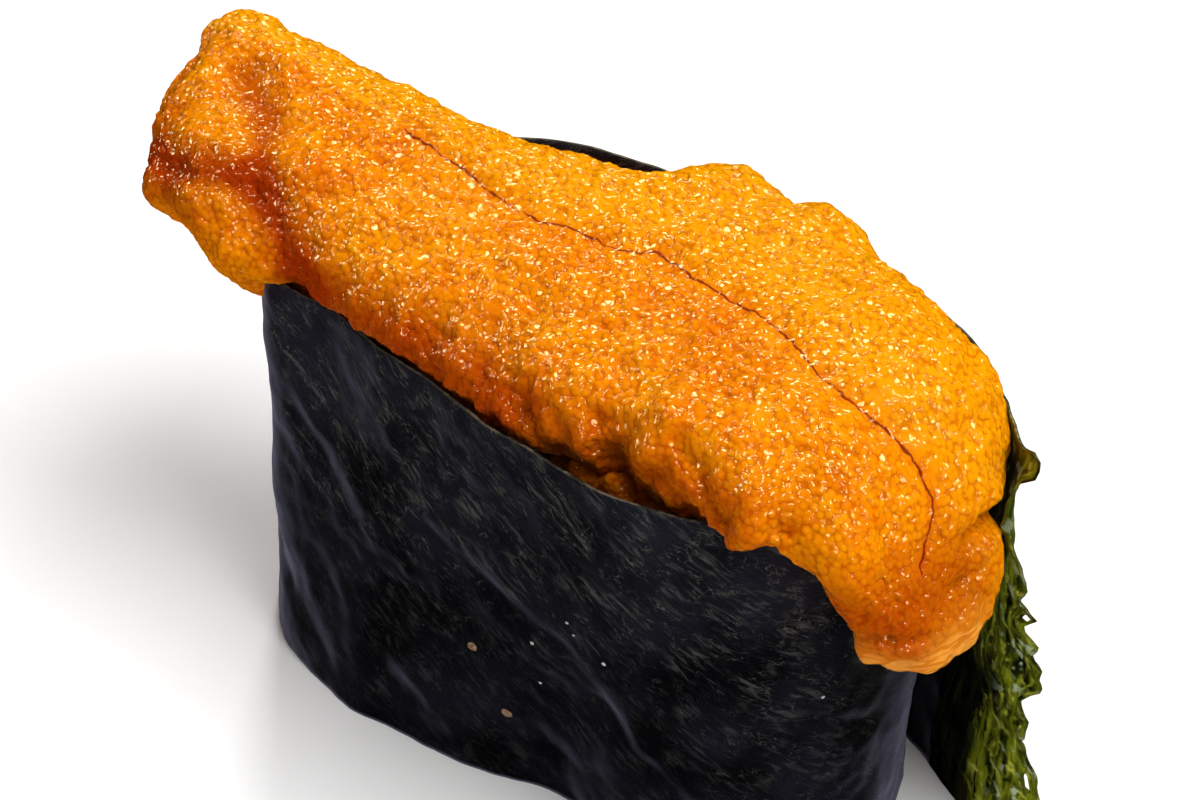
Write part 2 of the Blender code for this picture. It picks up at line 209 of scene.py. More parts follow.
# Where the tongue is pinched in: a route, the width and the depth of the pinch, in millimetres
PINCHES = (
    (((-34.5, 2.6, 39.2), (-28.0, 3.2, 38.7)), 3.0, 0.8),
    (((-19.5, 4.2, 38.3), (-15.5, 6.0, 37.7), (-11.0, 7.6, 37.6)), 3.0, 1.05),
    (((-8.0, 9.0, 37.2), (-5.8, 11.4, 37.6)), 2.2, 1.2),
    (((10.0, 12.9, 36.0), (13.5, 12.3, 36.0), (17.2, 11.4, 35.5)), 3.2, 1.0),
    (((24.5, 8.0, 31.0), (25.8, 6.2, 28.2)), 2.5, 0.6),
    (((27.6, 0.4, 29.0), (27.0, 2.2, 28.8), (26.2, 4.2, 28.0), (25.0, 5.6, 27.5)), 0.9, 2.2),
    (((-17.0, -13.2, 30.8), (-9.0, -13.2, 30.4)), 2.0, 0.7),
    (((20.0, -11.6, 30.4), (22.4, -10.4, 29.0), (24.4, -9.6, 26.0), (25.8, -7.0, 21.8)), 2.6, 1.3),
    (((-22.0, -14.0, 30.2), (-26.0, -15.4, 31.2)), 2.5, 0.8),
    (((-27.5, -16.0, 32.5), (-30.2, -15.3, 33.1)), 2.2, 1.7),
    (((-36.8, -11.6, 35.0), (-38.4, -9.9, 36.5), (-39.4, -7.3, 37.5), (-40.3, -4.5, 38.0)), 2.2, 1.0),
)

# Lumps and pits of the tongue's surface: place, reach and height, in millimetres
KNOBS = (
    (-32.6, -14.4, 34.4, 2.0, 1.3),
    (-40.0, 0.2, 38.5, 2.6, 0.8),
    (-3.3, 9.0, 38.2, 2.0, 0.6),
    (-2.2, 12.8, 37.0, 2.2, 0.5),
    (-0.2, 8.6, 38.2, 1.5, -0.8),
    (2.5, 12.4, 37.0, 1.4, -0.9),
    (6.6, 12.4, 36.8, 2.0, 0.4),
    (-21.0, -14.6, 33.0, 1.7, 0.5),
    (-24.4, -15.4, 33.8, 1.5, 0.6),
    (-27.5, -15.2, 35.6, 2.4, 0.5),
    (5.3, -12.6, 35.0, 2.2, 0.9),
    (7.4, -12.6, 33.4, 1.3, 0.5),
    (11.8, -12.4, 35.4, 2.0, 0.6),
    (18.7, -9.8, 36.4, 1.1, -0.6),
    (19.4, -12.6, 32.0, 1.8, 1.1),
    (24.8, -9.0, 30.2, 1.5, 0.5),
    (27.9, -1.0, 23.6, 2.0, 0.35),
    (28.0, 1.4, 26.0, 1.6, 0.4),
    (27.8, -3.7, 21.4, 2.0, 0.4),
    (27.8, 2.8, 24.6, 0.9, 0.35),
    (28.2, 1.0, 23.3, 0.9, 0.35),
    (28.3, -0.8, 22.2, 0.9, 0.35),
    (24.9, -8.0, 22.9, 1.8, 1.4),
    (23.4, -10.2, 27.6, 1.2, 0.4),
    (21.6, -11.0, 29.6, 1.1, 0.4),
    (9.2, -12.7, 32.6, 1.9, -1.5),
    (12.2, -13.0, 33.0, 1.4, -0.9),
)

# Smooth cut face at the tongue's end, and smooth wet places elsewhere: place and reach
CUT_FACE = (
    (23.6, -9.4, 23.2),
    (25.8, -7.0, 21.6),
    (27.2, -4.4, 21.6),
    (28.2, -1.2, 22.4),
)
WET_RISE = 0.22
WET_SPOTS = (
    (-32.8, -4.1, 38.7, 1.1),
    (-30.8, -10.9, 38.2, 1.1),
    (-16.7, -7.6, 37.8, 1.2),
    (20.3, 0.3, 36.7, 1.3),
    (19.0, 2.0, 37.4, 1.0),
    (23.0, -1.2, 35.0, 1.2),
    (24.4, -0.8, 33.6, 0.9),
    (27.2, -3.6, 26.5, 0.9),
)

# Lower roe, with the lumps that show between the rim and the long tongue: place, reach and height
LOWER_VOXEL = 0.4
LUMPS_TOWARD = (0.0, -0.35, 0.94)  # up and towards the front
LOWER_LUMPS = (
    (0.3, -12.0, 28.9, 1.3, 2.2),
    (3.0, -11.8, 29.0, 1.2, 2.0),
    (5.4, -12.0, 28.9, 1.5, 2.6),
    (8.6, -11.9, 28.9, 2.0, 3.2),
    (12.2, -11.6, 28.7, 1.3, 2.8),
    (14.4, -11.2, 28.6, 1.2, 2.4),
)

# Narrow folds pressed into the tongue: a route, its width and depth, in millimetres
FOLDS = (
    (((-32.1, -13.5, 36.1), (-28.1, -13.8, 37.2), (-25.2, -12.0, 36.8)), 0.8, 0.7),
    (((13.2, -11.6, 36.4), (15.9, -12.5, 34.9), (17.9, -12.9, 33.0)), 0.7, 1.0),
    (((1.6, -13.6, 34.6), (3.4, -13.8, 32.6)), 0.9, 1.0),
    (((4.1, -11.9, 36.1), (5.8, -12.4, 35.6), (6.9, -12.3, 34.7), (7.3, -13.3, 33.2)), 0.6, 1.1),
    (((27.8, 1.6, 26.8), (27.8, -1.2, 26.8), (27.4, -3.4, 25.8)), 0.6, 0.5),
    (((24.8, -9.6, 25.8), (26.4, -7.6, 25.0), (27.4, -5.6, 24.8)), 0.5, 0.4),
)

# Granules of the roe: millimetres between their middles, and how far each stands out
BEAD_SIZE = 0.42
BEAD_HEIGHT = 0.12

# Rice: height and inset of each level of the block, and the grains of its underside
RICE_LEVELS = ((0.9, 2.1), (2.5, 1.3), (12.0, 1.3), (20.5, 1.6), (22.5, 3.3))
GRAIN_INSET = 2.9
GRAIN_PITCH = (3.4, 3.0)
GRAIN_HALF_LENGTH = 2.9
GRAIN_HALF_WIDTH = 1.42
GRAIN_HALF_HEIGHT = 1.25
GRAIN_BEND = 0.22
RICE_SEED = 11

# Crumbs and specks on the front of the nori: place and reach
CRUMBS = ((-2.5, -14.5, 11.3, 0.42), (-0.1, -13.9, 6.0, 0.46), (-28.6, -9.0, 9.0, 0.3))
SPECKS = (
    (2.5, -13.8, 14.8, 0.16),
    (5.5, -13.7, 18.2, 0.13),
    (5.9, -13.6, 17.2, 0.12),
    (8.1, -13.4, 16.1, 0.17),
    (2.8, -13.3, 10.9, 0.12),
    (21.0, -6.2, 16.2, 0.14),
)
CRUMB_REACH_OUT = 1.08  # how far out of the sheet a crumb's place is looked for

# Soft lights seen only in the gloss: name, place in metres and watts
GLINT_LIGHTS = (
    ("glints_left", (-0.40, 0.44, 0.52), 3.6),
    ("glints_right", (0.20, 0.50, 0.66), 4.2),
    ("glints_front", (-0.48, -0.22, 0.72), 2.4),
    ("glints_near", (0.46, -0.06, 0.72), 3.8),
    ("glints_low", (0.76, -0.17, 0.30), 3.8),
    ("glints_end", (-0.76, -0.19, 0.30), 3.0),
)
GLINT_SIZE = (0.28, 0.15)
GLINT_COLOUR = (1.0, 0.80, 0.42)
FLOOR_SIZE = 4.0
WORLD_STRENGTH = 0.25


def smooth(t):
    """An even step from 0 to 1."""
    t = np.clip(t, 0.0, 1.0)
    return t * t * (3 - 2 * t)


def through(points, position):
    """The smooth curve through the points, at positions counted in points from the first."""
    points = np.asarray(points, float)
    last = len(points) - 1
    i = np.clip(np.floor(position).astype(int), 0, last - 1)
    t = (position - i)[..., None]
    a, b, c, d = (points[np.clip(i + k, 0, last)] for k in (-1, 0, 1, 2))
    square, cube = 2 * a - 5 * b + 4 * c - d, 3 * b - a - 3 * c + d
    return 0.5 * (2 * b + (c - a) * t + square * t**2 + cube * t**3)


def noise_at(points, size, shift=0.0):
    """Smooth noise from -1 to 1 at each point, for features of a size in millimetres."""
    flat = points.reshape(-1, 3) / size + shift
    return np.array([noise.noise(p) for p in flat.tolist()]).reshape(points.shape[:-1])


def fractal_at(points, size, octaves):
    """Layered noise at each point; the coarsest layer's features have a size in millimetres."""
    flat = points.reshape(-1, 3) / size
    values = [noise.fractal(p, 1.0, 2.0, octaves) for p in flat.tolist()]
    return np.array(values).reshape(points.shape[:-1])


def grid_normals(points, closed):
    """Unit normals of a grid of points, which may be closed round its second axis."""
    down = np.gradient(points, axis=0)
    if closed:
        across = np.roll(points, -1, axis=1) - np.roll(points, 1, axis=1)
    else:
        across = np.gradient(points, axis=1)
    normals = np.cross(down, across)
    return normals / np.maximum(np.linalg.norm(normals, axis=-1, keepdims=True), 1e-9)


def link(name, data):
    """A new object in the scene."""
    obj = bpy.data.objects.new(name, data)
    bpy.context.scene.collection.objects.link(obj)
    return obj


def set_attributes(mesh, attributes):
    """Float and vector attributes on the mesh's points."""
    for key, values in attributes.items():
        kind, slot = ("FLOAT", "value") if values.ndim == 1 else ("FLOAT_VECTOR", "vector")
        mesh.attributes.new(key, kind, "POINT").data.foreach_set(slot, values.ravel())


def add_mesh(name, verts, faces, attributes, material):
    """A named object from points in millimetres."""
    mesh = bpy.data.meshes.new(name)
    mesh.from_pydata((verts * MM).tolist(), [], faces)
    set_attributes(mesh, attributes)
    mesh.materials.append(material)
    mesh.shade_smooth()
    return link(name, mesh)


def add_shape(name, shape, material):
    """A named object from a shape in metres, which is used up."""
    mesh = bpy.data.meshes.new(name)
    shape.to_mesh(mesh)
    shape.free()
    mesh.materials.append(material)
    mesh.shade_smooth()
    return link(name, mesh)


def apply_modifiers(obj):
    """Makes what the modifiers show the object's own mesh."""
    graph = bpy.context.evaluated_depsgraph_get()
    mesh = bpy.data.meshes.new_from_object(obj.evaluated_get(graph))
    obj.modifiers.clear()
    obj.data = mesh


# Materials

def join(tree, value, socket):
    """Links a socket's value to another socket, or sets it."""
    if isinstance(value, bpy.types.NodeSocket):
        tree.links.new(value, socket)
    else:
        socket.default_value = value


def add_node(tree, kind, inputs, settings):
    """A new node, with its settings and with what goes into it."""
    made = tree.nodes.new(kind)
    for key, value in settings.items():
        setattr(made, key, value)
    for key, value in (inputs or {}).items():
        join(tree, value, made.inputs[key])
    return made


class Shader:
    """A material's node tree, with short ways to add and join nodes."""

    def __init__(self, name):
        self.material = bpy.data.materials.new(name)
        self.material.use_nodes = True
        self.tree = self.material.node_tree
        self.surface = self.tree.nodes["Principled BSDF"]

    def node(self, kind, inputs=None, **settings):
        return add_node(self.tree, kind, inputs, settings)

    def attribute(self, name, output="Fac"):
        return self.node("ShaderNodeAttribute", attribute_name=name).outputs[output]

    def noise(self, vector, size, detail=3.0, roughness=0.5, distortion=0.0):
        inputs = {"Vector": vector, "Scale": 1 / size, "Detail": detail, "Roughness": roughness}
        inputs["Distortion"] = distortion
        return self.node("ShaderNodeTexNoise", inputs).outputs["Fac"]

    def math(self, operation, a, b=0.0, c=0.0):
        return self.node("ShaderNodeMath", {0: a, 1: b, 2: c}, operation=operation).outputs[0]

    def vector_math(self, operation, a, b):
        return self.node("ShaderNodeVectorMath", {0: a, 1: b}, operation=operation)

    def remap(self, value, low, high, to_low=0.0, to_high=1.0):
        inputs = {"Value": value, "From Min": low, "From Max": high, "To Min": to_low, "To Max": to_high}
        made = self.node("ShaderNodeMapRange", inputs, interpolation_type="SMOOTHSTEP")
        return made.outputs[0]

    def mix(self, share, a, b):
        made = self.node("ShaderNodeMix", data_type="RGBA")
        join(self.tree, share, made.inputs["Factor"])
        for colour, socket in ((a, made.inputs["A"]), (b, made.inputs["B"])):
            join(self.tree, colour if isinstance(colour, bpy.types.NodeSocket) else (*colour, 1), socket)
        return made.outputs["Result"]

    def stretch(self, vector, scale, turn=0.0):
        inputs = {"Vector": vector, "Scale": scale, "Rotation": (0, 0, turn)}
        return self.node("ShaderNodeMapping", inputs).outputs[0]

    def bump(self, height, distance, strength=1.0):
        inputs = {"Height": height, "Distance": distance * MM, "Strength": strength}
        return self.node("ShaderNodeBump", inputs).outputs[0]

    def set(self, **sockets):
        for key, value in sockets.items():
            join(self.tree, value, self.surface.inputs[key.replace("_", " ")])


def bead_dome(make, vector):
    """The height, from 0 to 1, of the round granule at a place, and its cell, by nodes that make() adds."""
    cells = make("ShaderNodeTexVoronoi", {"Vector": vector, "Scale": 1 / BEAD_SIZE, "Randomness": 0.9})
    square = make("ShaderNodeMath", {0: cells.outputs["Distance"], 1: 2.0}, operation="POWER")
    drop = make("ShaderNodeMath", {0: square.outputs[0], 1: -1.9, 2: 1.0}, operation="MULTIPLY_ADD")
    floor = make("ShaderNodeMath", {0: drop.outputs[0], 1: 0.0}, operation="MAXIMUM")
    dome = make("ShaderNodeMath", {0: floor.outputs[0]}, operation="SQRT")
    return dome.outputs[0], cells


def roe_material(name, shade):
    """Wet orange roe: granules with painted light on their tops and painted shade in the gaps, painted
    shade where the roe turns from the light, a golder back for the light on it, and a dark red line along
    the seam.

    Each granule's wet film leans its own way, so that single granules flash wherever a light stands.
    """
    s = Shader(name)
    rest = s.attribute("rest", "Vector")
    dome, cells = bead_dome(s.node, rest)
    bead = s.attribute("bead")
    painted_shade = s.attribute("painted_shade")
    broad = s.noise(rest, 9.0, 2.0)
    patch = s.noise(rest, 2.6, 3.0)
    tone = s.node("ShaderNodeSeparateColor", {0: cells.outputs["Color"]}).outputs[0]
    seam = s.attribute("seam")

    colour = s.mix(s.remap(broad, 0.35, 0.65), (0.76, 0.165, 0.0006), (0.86, 0.245, 0.0008))
    colour = s.mix(s.remap(patch, 0.35, 0.7, 0.0, 0.6), colour, (0.92, 0.320, 0.001))
    # Painted light: the back of the seam made golder and lighter, for the light that falls on it
    colour = s.mix(s.remap(seam, -1.5, 4.0, 0.0, 0.75), colour, (0.93, 0.36, 0.0015))
    # Painted highlight on the granules' tops and painted shade in the gaps between them
    painted_top_light = s.math("MULTIPLY", s.math("MULTIPLY", dome, tone), bead)
    colour = s.mix(s.remap(painted_top_light, 0.25, 1.0, 0.0, 0.45), colour, (0.98, 0.38, 0.003))
    painted_gap_shade = s.math("MULTIPLY", s.math("SUBTRACT", 1.0, dome), bead)
    colour = s.mix(s.math("MULTIPLY", painted_gap_shade, 0.55), colour, (0.52, 0.065, 0.0005))
    # Painted shade where the roe turns away from the light, in its crease and along the front
    colour = s.mix(painted_shade, colour, (0.34, 0.022, 0.0006))
    layers = s.noise(s.stretch(rest, (0.35, 0.35, 2.2)), 0.9, 2.0, 0.5, 0.6)
    peach = s.mix(s.remap(layers, 0.42, 0.58), (0.62, 0.17, 0.012), (0.85, 0.34, 0.05))
    colour = s.mix(s.math("MULTIPLY", s.attribute("cut"), 0.8), colour, peach)
    wobble = s.math("MULTIPLY_ADD", s.noise(rest, 1.1, 2.0), 0.6, -0.3)
    near = s.math("ABSOLUTE", s.math("ADD", seam, wobble))
    broken = s.remap(s.noise(s.stretch(rest, (1, 0.05, 0.05)), 1.9, 2.0), 0.28, 0.38)
    line = s.math("MULTIPLY", s.remap(near, 0.04, 0.15, 0.95, 0.0), broken)
    halo = s.math("MULTIPLY", s.remap(near, 0.1, 0.7, 0.35, 0.0), broken)
    colour = s.mix(halo, colour, (0.62, 0.10, 0.004))
    colour = s.mix(line, colour, (0.20, 0.012, 0.002))
    # Painted shade: a darker copy of the roe for where it lies in shadow
    if shade < 1:
        colour = s.mix(1 - shade, colour, (0.22, 0.02, 0.001))

    fine = s.noise(rest, 0.16, 2.0)
    uneven = s.math("MULTIPLY", bead, s.math("MULTIPLY_ADD", tone, 0.6, 0.5))
    relief = s.math("MULTIPLY_ADD", dome, uneven, s.math("MULTIPLY", fine, 0.10))
    body = s.bump(relief, BEAD_HEIGHT, 0.9)
    half = s.vector_math("SUBTRACT", cells.outputs["Color"], (0.5, 0.5, 0.5))
    away = s.vector_math("SUBTRACT", rest, cells.outputs["Position"])
    facet = s.vector_math("DOT_PRODUCT", half.outputs[0], away.outputs[0])
    ripple = s.noise(rest, 0.9, 1.0)
    film = s.math("MULTIPLY_ADD", ripple, 0.9, s.math("MULTIPLY", dome, 0.3))
    film = s.math("MULTIPLY_ADD", facet.outputs["Value"], s.math("MULTIPLY", bead, 5.5), film)
    wet = s.bump(film, BEAD_HEIGHT, 1.0)
    s.set(Base_Color=colour, Roughness=s.remap(patch, 0.3, 0.7, 0.28, 0.42), Normal=body)
    s.set(Subsurface_Weight=0.2, Subsurface_Radius=(1.0, 0.3, 0.05), Subsurface_Scale=0.6 * MM)
    s.set(IOR=1.40, Specular_IOR_Level=0.0)
    s.set(Coat_Weight=1.0, Coat_Roughness=0.08, Coat_IOR=1.36, Coat_Normal=wet)
    return s.material


def nori_material():
    """Pressed seaweed: blue-black and satin with pale fibres, and a painted bluish sheen, standing for the
    reflection of the pale floor, where it's seen edge-on and out of the roe's shade.
    """
    s = Shader("nori_sheet")
    sheet = s.attribute("sheet", "Vector")
    turned = s.stretch(sheet, (1, 1, 1), math.radians(-36))
    warp = s.noise(sheet, 3.0, 3.0)
    streak = s.noise(s.stretch(turned, (0.30, 1.3, 1)), 0.62, 5.0, 0.62, 0.8)
    curl = s.noise(s.stretch(turned, (0.40, 1.0, 1)), 0.5, 2.0, 0.5, 1.0)
    thread = s.remap(s.math("ABSOLUTE", s.math("SUBTRACT", curl, 0.5)), 0.004, 0.022, 1.0, 0.0)
    cloud = s.noise(sheet, 8.0, 3.0)

    colour = s.mix(s.remap(cloud, 0.35, 0.68), (0.0012, 0.0012, 0.0026), (0.0085, 0.0080, 0.0145))
    place = s.node("ShaderNodeSeparateXYZ", {0: sheet})
    along, level = place.outputs[0], place.outputs[1]
    upper = s.remap(level, 8, 27, 0.3, 1.0)
    lighter = s.math("MULTIPLY", s.remap(level, 16, 32, 0.0, 0.6), cloud)
    colour = s.mix(lighter, colour, (0.026, 0.025, 0.038))
    pale = s.math("MULTIPLY", s.remap(streak, 0.49, 0.64), s.remap(warp, 0.42, 0.64))
    pale = s.math("MULTIPLY", pale, upper)
    colour = s.mix(pale, colour, (0.072, 0.069, 0.062))
    thin = s.math("MULTIPLY", thread, s.remap(s.noise(turned, 1.5, 2.0), 0.45, 0.60, 0.0, 0.9))
    colour = s.mix(s.math("MULTIPLY", thin, upper), colour, (0.10, 0.10, 0.075))
    # Painted sheen: a bluish reflection painted where the sheet is seen edge-on, weaker high up where the
    # roe shades it
    facing = s.node("ShaderNodeLayerWeight", {"Blend": 0.5}).outputs["Facing"]
    out_of_shade = s.math("MAXIMUM", s.remap(along, 45, 60), s.remap(level, 7, 16, 1.0, 0.4))
    for low, high, painted_sheen_colour in ((0.48, 0.78, (0.090, 0.088, 0.130)), (0.68, 0.95, (0.22, 0.21, 0.29))):
        painted_sheen = s.math("MULTIPLY", s.remap(facing, low, high, 0.0, 0.8), out_of_shade)
        colour = s.mix(painted_sheen, colour, painted_sheen_colour)
    height = s.math("MULTIPLY_ADD", streak, 0.7, s.math("MULTIPLY", thread, 0.25))
    grain = s.noise(sheet, 0.35, 3.0, 0.6)
    height = s.math("MULTIPLY_ADD", grain, 0.35, height)
    normal = s.bump(height, 0.16, 0.6)
    s.set(Base_Color=colour, Roughness=s.remap(streak, 0.3, 0.7, 0.36, 0.55), Normal=normal)
    s.set(Specular_IOR_Level=0.08, Specular_Tint=(0.82, 0.84, 1.0, 1))
    s.set(Sheen_Weight=0.05, Sheen_Roughness=0.35, Sheen_Tint=(0.72, 0.74, 1.0, 1))
    return s.material


def torn_material():
    """The thin torn end of the seaweed: glossy olive green, darker in upright streaks, its green partly
    painted glow of light through it, with painted pale reflections at the edge.
    """
    s = Shader("nori_torn")
    sheet = s.attribute("sheet", "Vector")
    tail = s.attribute("tail")
    upright = s.noise(s.stretch(sheet, (1.1, 0.22, 1)), 0.8, 5.0, 0.65, 0.4)
    spots = s.noise(sheet, 0.9, 3.0)
    green = s.mix(s.remap(upright, 0.38, 0.62), (0.006, 0.009, 0.001), (0.26, 0.30, 0.010))
    green = s.mix(s.remap(spots, 0.54, 0.68, 0.0, 0.9), green, (0.60, 0.62, 0.070))
    blotch = s.remap(s.noise(s.stretch(sheet, (1.0, 0.5, 1)), 3.2, 2.0), 0.40, 0.58)
    thin = s.math("MULTIPLY", s.remap(tail, 0.0, 0.85), s.math("MULTIPLY_ADD", blotch, 0.85, 0.15))
    edge = s.remap(tail, 0.80, 1.0)
    dark = s.mix(s.remap(upright, 0.45, 0.60), (0.002, 0.002, 0.002), (0.014, 0.015, 0.004))
    # The green, brighter towards the torn end, is partly the thin sheet's own colour and partly painted
    # glow of light coming through it
    green_and_glow = s.math("MAXIMUM", s.math("POWER", thin, 1.5), s.math("MULTIPLY", edge, 0.9))
    colour = s.mix(green_and_glow, dark, green)
    # Painted reflection: pale whitish patches near the torn edge
    painted_reflection = s.math("MULTIPLY", edge, s.remap(s.noise(sheet, 1.1, 2.0), 0.58, 0.63))
    colour = s.mix(s.math("MULTIPLY", painted_reflection, 0.8), colour, (0.46, 0.54, 0.36))
    height = s.math("MULTIPLY_ADD", spots, 0.8, s.math("MULTIPLY", upright, 0.6))
    s.set(Base_Color=colour, Roughness=0.2, Normal=s.bump(height, 0.35, 0.8))
    s.set(Specular_IOR_Level=s.remap(tail, 0.0, 0.6, 0.08, 0.7))
    s.set(Transmission_Weight=s.math("MULTIPLY", edge, 0.7))
    return s.material


def edge_material():
    """The cut edge of the seaweed: brown with pale bits."""
    s = Shader("nori_edge")
    place = s.node("ShaderNodeTexCoord").outputs["Object"]
    bits = s.noise(place, 0.9 * MM, 3.0)
    colour = s.mix(s.remap(bits, 0.42, 0.62), (0.012, 0.011, 0.010), (0.10, 0.082, 0.055))
    s.set(Base_Color=colour, Roughness=0.5, Specular_IOR_Level=0.2)
    return s.material


def rice_material():
    """Cooked rice: nearly white, soft and a little shiny."""
    s = Shader("rice_grains")
    place = s.node("ShaderNodeTexCoord").outputs["Object"]
    tone = s.noise(place, 2.0 * MM, 2.0)
    colour = s.mix(s.remap(tone, 0.3, 0.7), (0.74, 0.70, 0.60), (0.88, 0.86, 0.80))
    normal = s.bump(s.noise(place, 0.5 * MM, 2.0), 0.05, 0.5)
    s.set(Base_Color=colour, Roughness=0.32, Normal=normal, Subsurface_Weight=0.3)
    s.set(Subsurface_Radius=(1.0, 0.8, 0.5), Subsurface_Scale=1.2 * MM)
    s.set(Coat_Weight=0.25, Coat_Roughness=0.2)
    return s.material


def crumb_material(name, dark, light):
    """A dry bit, mottled between two colours."""
    s = Shader(name)
    place = s.node("ShaderNodeTexCoord").outputs["Object"]
    tone = s.noise(place, 0.3 * MM, 2.0)
    colour = s.mix(s.remap(tone, 0.3, 0.7), dark, light)
    s.set(Base_Color=colour, Roughness=0.6, Normal=s.bump(tone, 0.08, 0.6))
    return s.material


# Roe

def position_in(rows, along):
    """Where distances fall among rows that begin with one, counted in rows from the first."""
    return np.interp(along, [row[0] for row in rows], range(len(rows)))


def droop(along):
    """x, the fall and the downward angle of the tongue's spine where its end hangs over the band."""
    steps = np.linspace(DROOP_START, ROE_SECTIONS[-1][0], 400)
    angles = DROOP_ANGLE * smooth((steps - DROOP_START) / DROOP_LENGTH)
    step = steps[1] - steps[0]
    x = DROOP_START + np.concatenate([[0], np.cumsum(np.cos(angles[:-1]) * step)])
    fall = np.concatenate([[0], np.cumsum(np.sin(angles[:-1]) * step)])
    over = along > DROOP_START
    return (
        np.where(over, np.interp(along, steps, x), along),
        np.where(over, np.interp(along, steps, fall), 0.0),
        np.where(over, np.interp(along, steps, angles), 0.0),
    )


def even_samples(curve, weights, count):
    """Shares of a curve's parameter at evenly weighted lengths along it."""
    length = np.linalg.norm(np.diff(curve, axis=0), axis=1) * weights
    run = np.concatenate([[0], np.cumsum(length)])
    return np.interp(np.linspace(0, run[-1], count), run, np.linspace(0, 1, len(curve)))


def tongue_samples():
    """Where the rings lie along the tongue and the points lie round it, closer where they show."""
    z = np.linspace(-1, 1, 4001)
    z = np.sign(z) * (1 - (1 - np.abs(z)) ** 3)
    side = np.stack([z * 37, 8 * np.maximum(0, 1 - np.abs(z) ** BLUNT) ** (1 / BLUNT)], 1)
    share = even_samples(side, 1.0, ROE_RINGS + 2)[1:-1]
    rings = np.interp(share, np.linspace(0, 1, len(z)), z)
    angle = np.linspace(-0.5 * math.pi, 1.5 * math.pi, 4001)
    ring = np.stack([13 * np.cos(angle), 4.4 * np.sin(angle)], 1)
    shown = np.where(np.sin(angle[:-1]) > -0.75, 1.0, 0.3)
    share = even_samples(ring, shown, ROE_SEGMENTS + 1)[:-1]
    return rings, np.interp(share, np.linspace(0, 1, len(angle)), angle)


def tongue_base(rings, angles):
    """The plain form of the long tongue, as a grid of points, with what the relief needs to know."""
    z = rings[:, None] + 0 * angles[None, :]
    across, up = np.cos(angles)[None, :] + 0 * z, np.sin(angles)[None, :] + 0 * z
    start, end = ROE_SECTIONS[0][0], ROE_SECTIONS[-1][0]
    along = (start + end) / 2 + z * (end - start) / 2
    swell = np.maximum(0, 1 - np.abs(z) ** BLUNT) ** (1 / BLUNT)
    values = through([row[1:] for row in ROE_SECTIONS], position_in(ROE_SECTIONS, along))
    front, back, crown, belly, height, drop = np.moveaxis(values, -1, 0)
    side = np.sign(across) * np.abs(across) ** 0.8 * swell
    rise = np.sign(up) * np.abs(up) ** 0.9 * np.where(up > 0, crown, belly) * swell
    x, fall, angle = droop(along)
    y = (front + back) / 2 + side * (back - front) / 2
    slant = -LEFT_SLANT * (y + 5) * smooth((-along - 16) / 24)
    level = height - fall + drop * side
    points = np.stack([x + slant + rise * np.sin(angle), y, level + rise * np.cos(angle)], -1)
    return points, along, smooth((up + 0.35) / 0.7), swell


def lump(points, place, reach, height):
    """A round swelling at a place in plan, or in space where the place has three numbers."""
    away = points[..., : len(place)] - np.array(place)
    return height * np.exp(-1.6 * (away**2).sum(-1) / reach**2)


def crease(points, route, width, depth):
    """A valley along a route of points, in plan or in space."""
    nearest = np.full(points.shape[:-1], 1e9)
    route = np.array(route, float)
    for a, b in zip(route, route[1:]):
        offset = points[..., : len(a)] - a
        t = np.clip((offset @ (b - a)) / ((b - a) @ (b - a)), 0, 1)
        nearest = np.minimum(nearest, np.linalg.norm(offset - t[..., None] * (b - a), axis=-1))
    return depth * np.exp(-((nearest / width) ** 2))


def tongue_relief(points, along, top):
    """The tongue's folds, lumps and creases, in millimetres out of its plain form."""
    height = fractal_at(points, 7.0, 3) * 0.55
    height += (1 - 2 * np.abs(noise_at(points, 2.2))) * 0.22
    height += (1 - 2 * np.abs(noise_at(points, 1.2, 7.0))) * 0.15
    height += (1 - 2 * np.abs(noise_at(points, 4.4, 11.0))) * 0.3 * smooth((-2 - points[..., 1]) / 6)
    for x, y, reach, rise in BACK_LUMPS + FRONT_LUMPS:
        height += lump(points, (x, y), reach, rise) * (0.35 + 0.65 * top)
    x, y, reach, rise = LEFT_LOBE
    height += lump(points, (x, y), reach, rise)
    height -= crease(points, CREASE, 1.9, 1.5)
    front = smooth((-9.5 - points[..., 1]) / 2) * smooth((35.8 - points[..., 2]) / 2)
    front = front * smooth((points[..., 0] + 10) / 5) * smooth((26 - points[..., 0]) / 3)
    height += front * (fractal_at(points + 40, 2.3, 3) - 0.15) * 0.9
    for route, width, depth in PINCHES + FOLDS:
        height -= crease(points, route, width, depth)
    for x, y, z, reach, rise in KNOBS:
        height += lump(points, (x, y, z), reach, rise)
    for x, y, z, reach in WET_SPOTS:
        height += lump(points, (x, y, z), reach * 0.8, WET_RISE)
    return height


def seam_distance(points, along):
    """Millimetres from the seam in plan, negative on its front side."""
    middle = through([row[1:] for row in SEAM], position_in(SEAM, along))[..., 0]
    before = np.maximum(0, SEAM[0][0] - along) + np.maximum(0, along - SEAM[-1][0])
    aside = points[..., 1] - middle
    return np.where(aside < 0, -1, 1) * np.hypot(aside, before)


def tube_faces(rings, segments):
    """Quads between rings of points, with a fan of triangles to a tip at each end."""
    faces = []
    for start in range(0, (rings - 1) * segments, segments):
        after = start + segments
        for j in range(segments):
            n = (j + 1) % segments
            faces.append((start + j, after + j, after + n, start + n))
    first, last = rings * segments, rings * segments + 1
    for j in range(segments):
        n = (j + 1) % segments
        faces.append((first, j, n))
        faces.append((last, (rings - 1) * segments + n, (rings - 1) * segments + j))
    return faces


